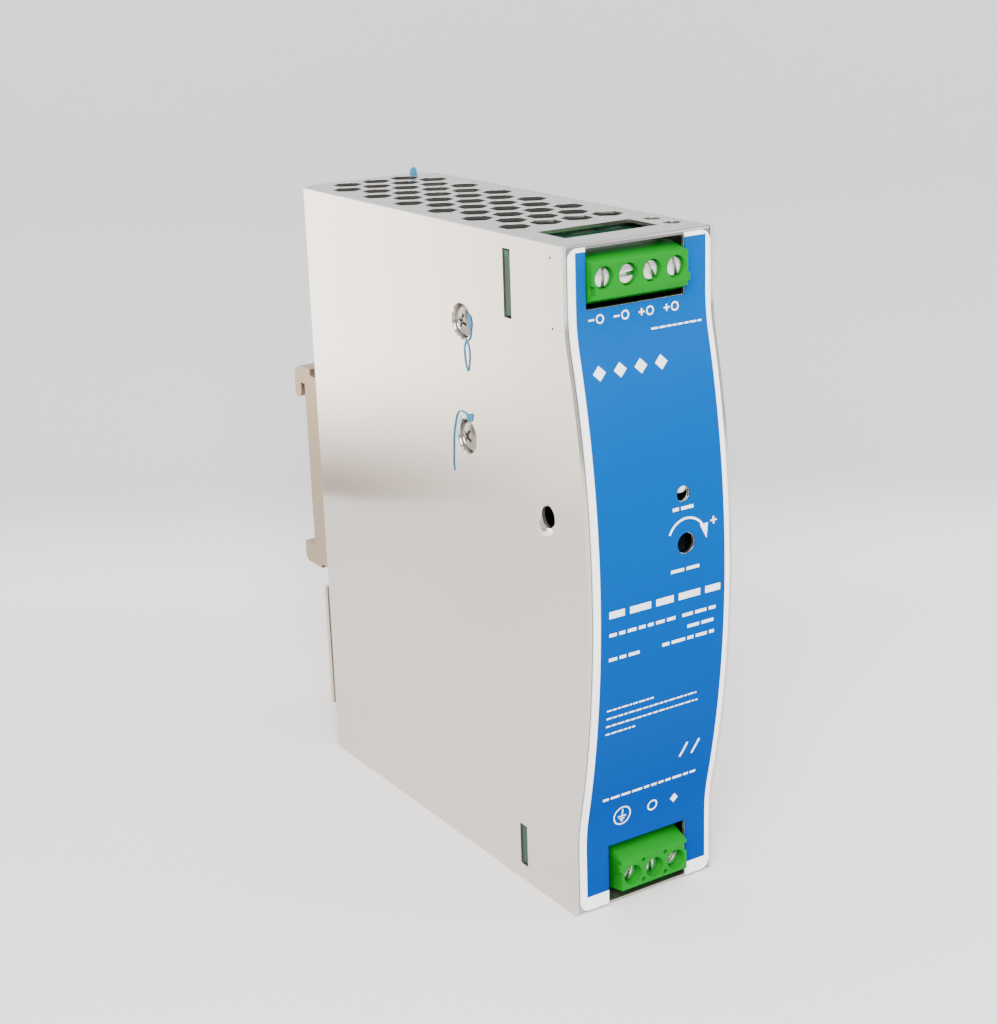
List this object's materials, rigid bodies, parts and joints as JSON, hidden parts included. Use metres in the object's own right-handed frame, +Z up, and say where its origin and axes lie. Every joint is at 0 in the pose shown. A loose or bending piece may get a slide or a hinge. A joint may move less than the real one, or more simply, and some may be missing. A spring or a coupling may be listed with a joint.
{
  "type": "din rail power supply",
  "caption": "Slim metal-cased power supply that hooks on a 35 mm rail, with screw terminals at the top and bottom of its bulged front and a sprung latch behind.",
  "frame": {"origin": "centre of the bounding box's base, level with the case's foot", "axes": "+X to the right seen from the front, +Y from the front to the rail, +Z up"},
  "size_m": [0.032, 0.117, 0.1252],
  "materials": {
    "case_sheet": "plated steel sheet, satin warm grey",
    "label_film": "printed film, satin",
    "terminal_plastic": "moulded green plastic",
    "plated_screw": "bright nickel plate",
    "tinned_metal": "tinned",
    "board_laminate": "glass laminate with green lacquer",
    "film_insulation": "dark insulating sheet",
    "lamp_lens": "frosted epoxy",
    "trimmer_case": "moulded",
    "trimmer_knob": "moulded",
    "bare_aluminium": "mill finish",
    "black_package": "moulded epoxy",
    "ferrite": "sintered",
    "winding_tape": "polyester tape",
    "copper_wire": "enamelled copper",
    "capacitor_sleeve": "shrink sleeve",
    "fuse_body": "ceramic tube",
    "clip_metal": "plated",
    "spring_steel": "spring wire"
  },
  "bodies": {
    "housing": {"case_wrap": "case_sheet", "front_sheet": "case_sheet", "top_sheet": "case_sheet", "bottom_sheet": "case_sheet", "front_label": "label_film", "output_terminal_housing": "terminal_plastic", "input_terminal_housing": "terminal_plastic", "output_terminal_board": "board_laminate", "input_terminal_board": "board_laminate", "main_board": "board_laminate", "insulating_sheet": "film_insulation", "indicator_lamp": "lamp_lens", "trimmer_body": "trimmer_case", "side_screw_upper": "plated_screw", "side_screw_lower": "plated_screw", "heat_spreader": "bare_aluminium", "main_transistor": "black_package", "output_rectifier": "black_package", "transformer_core": "ferrite", "transformer_winding": "winding_tape", "line_filter_core": "ferrite", "output_choke": "copper_wire", "interference_capacitor": "winding_tape", "bulk_capacitor": "capacitor_sleeve", "output_capacitor_1": "capacitor_sleeve", "output_capacitor_2": "capacitor_sleeve", "output_capacitor_3": "capacitor_sleeve", "bridge_rectifier": "black_package", "coupling_coil": "trimmer_case", "line_fuse": "fuse_body", "rail_bracket": "clip_metal", "bracket_screw_lower": "plated_screw", "bracket_screw_upper": "plated_screw", "rear_nut_lower": "plated_screw", "rear_nut_upper": "plated_screw", "latch_spring": "spring_steel", "output_contact_1": "tinned_metal", "output_contact_2": "tinned_metal", "output_contact_3": "tinned_metal", "output_contact_4": "tinned_metal", "input_contact_1": "tinned_metal", "input_contact_2": "tinned_metal", "input_contact_3": "tinned_metal"},
    "latch": {"rail_latch": "clip_metal"},
    "trimmer": {"trimmer_rotor": "trimmer_knob"},
    "output_screw_1": {"output_screw_1": "plated_screw"},
    "output_clamp_1": {"output_clamp_1": "tinned_metal"},
    "output_screw_2": {"output_screw_2": "plated_screw"},
    "output_clamp_2": {"output_clamp_2": "tinned_metal"},
    "output_screw_3": {"output_screw_3": "plated_screw"},
    "output_clamp_3": {"output_clamp_3": "tinned_metal"},
    "output_screw_4": {"output_screw_4": "plated_screw"},
    "output_clamp_4": {"output_clamp_4": "tinned_metal"},
    "input_screw_1": {"input_screw_1": "plated_screw"},
    "input_clamp_1": {"input_clamp_1": "tinned_metal"},
    "input_screw_2": {"input_screw_2": "plated_screw"},
    "input_clamp_2": {"input_clamp_2": "tinned_metal"},
    "input_screw_3": {"input_screw_3": "plated_screw"},
    "input_clamp_3": {"input_clamp_3": "tinned_metal"}
  },
  "joints": [
    {"name": "latch_slide", "type": "slide", "parent": "housing", "child": "latch", "axis": [0, 0, -1], "range_m": [0, 0.0045], "stiffness_N_per_m": 900, "springref_m": -0.002, "deforming": ["latch_spring"]},
    {"name": "trimmer_turn", "type": "hinge", "parent": "housing", "child": "trimmer", "pos_m": [0.0054, -0.05441, 0.0705], "axis": [0, 1, 0], "range_deg": [-135, 135]},
    {"name": "output_screw_1_turn", "type": "hinge", "parent": "housing", "child": "output_screw_1", "pos_m": [-0.00852, -0.05402, 0.1193], "axis": [0, 1, 0], "range_deg": [0, 1800]},
    {"name": "output_clamp_1_rise", "type": "slide", "parent": "housing", "child": "output_clamp_1", "axis": [0, -1, 0], "range_m": [0, 0.0025]},
    {"name": "output_screw_2_turn", "type": "hinge", "parent": "housing", "child": "output_screw_2", "pos_m": [-0.00344, -0.05402, 0.1193], "axis": [0, 1, 0], "range_deg": [0, 1800]},
    {"name": "output_clamp_2_rise", "type": "slide", "parent": "housing", "child": "output_clamp_2", "axis": [0, -1, 0], "range_m": [0, 0.0025]},
    {"name": "output_screw_3_turn", "type": "hinge", "parent": "housing", "child": "output_screw_3", "pos_m": [0.00164, -0.05402, 0.1193], "axis": [0, 1, 0], "range_deg": [0, 1800]},
    {"name": "output_clamp_3_rise", "type": "slide", "parent": "housing", "child": "output_clamp_3", "axis": [0, -1, 0], "range_m": [0, 0.0025]},
    {"name": "output_screw_4_turn", "type": "hinge", "parent": "housing", "child": "output_screw_4", "pos_m": [0.00672, -0.05402, 0.1193], "axis": [0, 1, 0], "range_deg": [0, 1800]},
    {"name": "output_clamp_4_rise", "type": "slide", "parent": "housing", "child": "output_clamp_4", "axis": [0, -1, 0], "range_m": [0, 0.0025]},
    {"name": "input_screw_1_turn", "type": "hinge", "parent": "housing", "child": "input_screw_1", "pos_m": [0.00623, -0.05402, 0.0055], "axis": [0, 1, 0], "range_deg": [0, 1800]},
    {"name": "input_clamp_1_rise", "type": "slide", "parent": "housing", "child": "input_clamp_1", "axis": [0, -1, 0], "range_m": [0, 0.0025]},
    {"name": "input_screw_2_turn", "type": "hinge", "parent": "housing", "child": "input_screw_2", "pos_m": [0.00115, -0.05402, 0.0055], "axis": [0, 1, 0], "range_deg": [0, 1800]},
    {"name": "input_clamp_2_rise", "type": "slide", "parent": "housing", "child": "input_clamp_2", "axis": [0, -1, 0], "range_m": [0, 0.0025]},
    {"name": "input_screw_3_turn", "type": "hinge", "parent": "housing", "child": "input_screw_3", "pos_m": [-0.00393, -0.05402, 0.0055], "axis": [0, 1, 0], "range_deg": [0, 1800]},
    {"name": "input_clamp_3_rise", "type": "slide", "parent": "housing", "child": "input_clamp_3", "axis": [0, -1, 0], "range_m": [0, 0.0025]}
  ],
  "couplings": [
    {"joint": "output_screw_1_turn", "follows": "output_clamp_1_rise", "rad_per_m": 12566},
    {"joint": "output_screw_2_turn", "follows": "output_clamp_2_rise", "rad_per_m": 12566},
    {"joint": "output_screw_3_turn", "follows": "output_clamp_3_rise", "rad_per_m": 12566},
    {"joint": "output_screw_4_turn", "follows": "output_clamp_4_rise", "rad_per_m": 12566},
    {"joint": "input_screw_1_turn", "follows": "input_clamp_1_rise", "rad_per_m": 12566},
    {"joint": "input_screw_2_turn", "follows": "input_clamp_2_rise", "rad_per_m": 12566},
    {"joint": "input_screw_3_turn", "follows": "input_clamp_3_rise", "rad_per_m": 12566}
  ]
}
